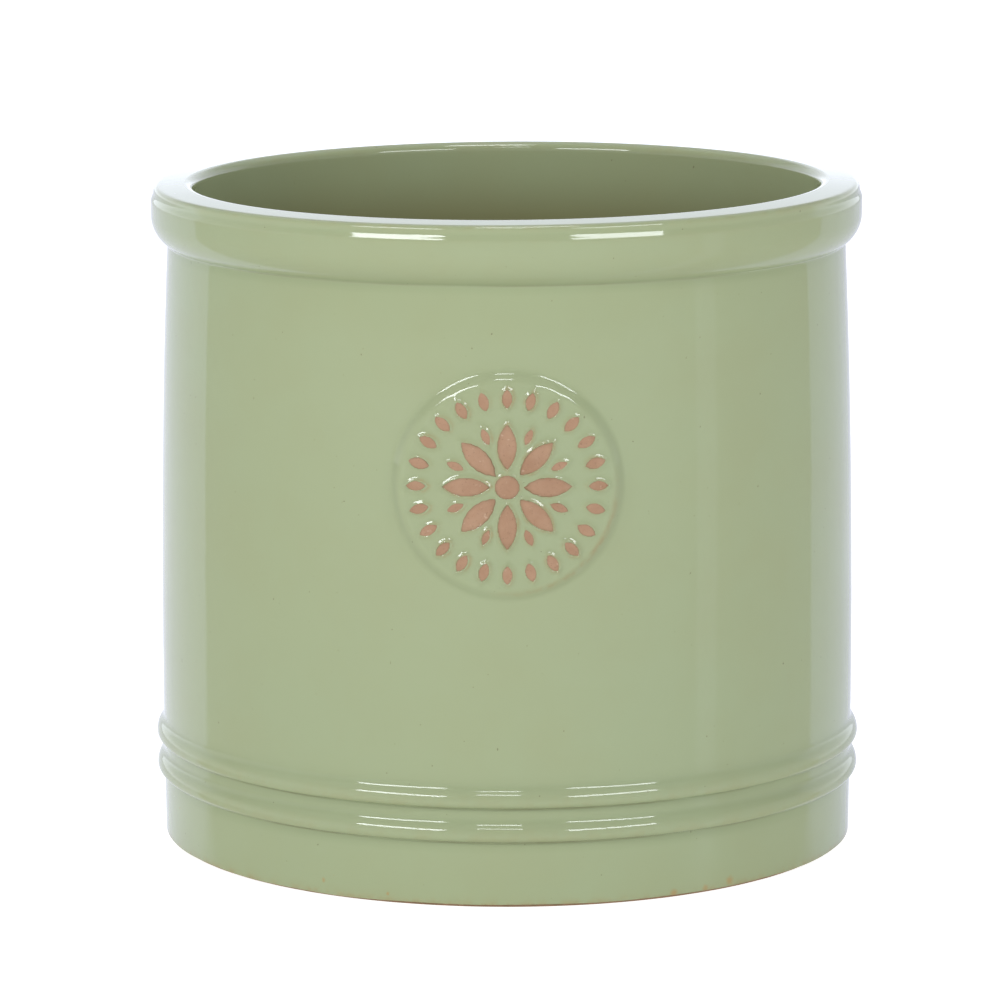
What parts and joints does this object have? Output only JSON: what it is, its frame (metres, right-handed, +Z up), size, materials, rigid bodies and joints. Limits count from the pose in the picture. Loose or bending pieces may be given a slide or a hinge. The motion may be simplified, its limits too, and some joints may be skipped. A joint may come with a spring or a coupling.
{
  "type": "brush holder pot",
  "caption": "Straight-sided glazed earthenware pot with a rolled rim, two foot beads and an applied round seal, that stands and holds brushes.",
  "frame": {"origin": "on the table, under the centre of the pot, so the foot ring rests at Z = 0", "axes": "+Z up along the pot's axis; the seal is on the -Y side; +X is to the right of someone who faces the seal"},
  "size_m": [0.1801, 0.1802, 0.168],
  "materials": {
    "bare_clay": "unglazed, matt",
    "sage_glaze": "glossy"
  },
  "bodies": {
    "root": {"clay_wall": "bare_clay", "floor_slab": "bare_clay", "floor_coil": "bare_clay", "foot_ring": "bare_clay", "rim_collar": "bare_clay", "lower_bead": "bare_clay", "upper_bead": "bare_clay", "seal_disc": "bare_clay", "border_sprigs": "bare_clay", "petal_sprigs": "bare_clay", "sepal_sprigs": "bare_clay", "boss_sprig": "bare_clay", "outer_glaze": "sage_glaze", "inner_glaze": "sage_glaze"}
  },
  "joints": []
}
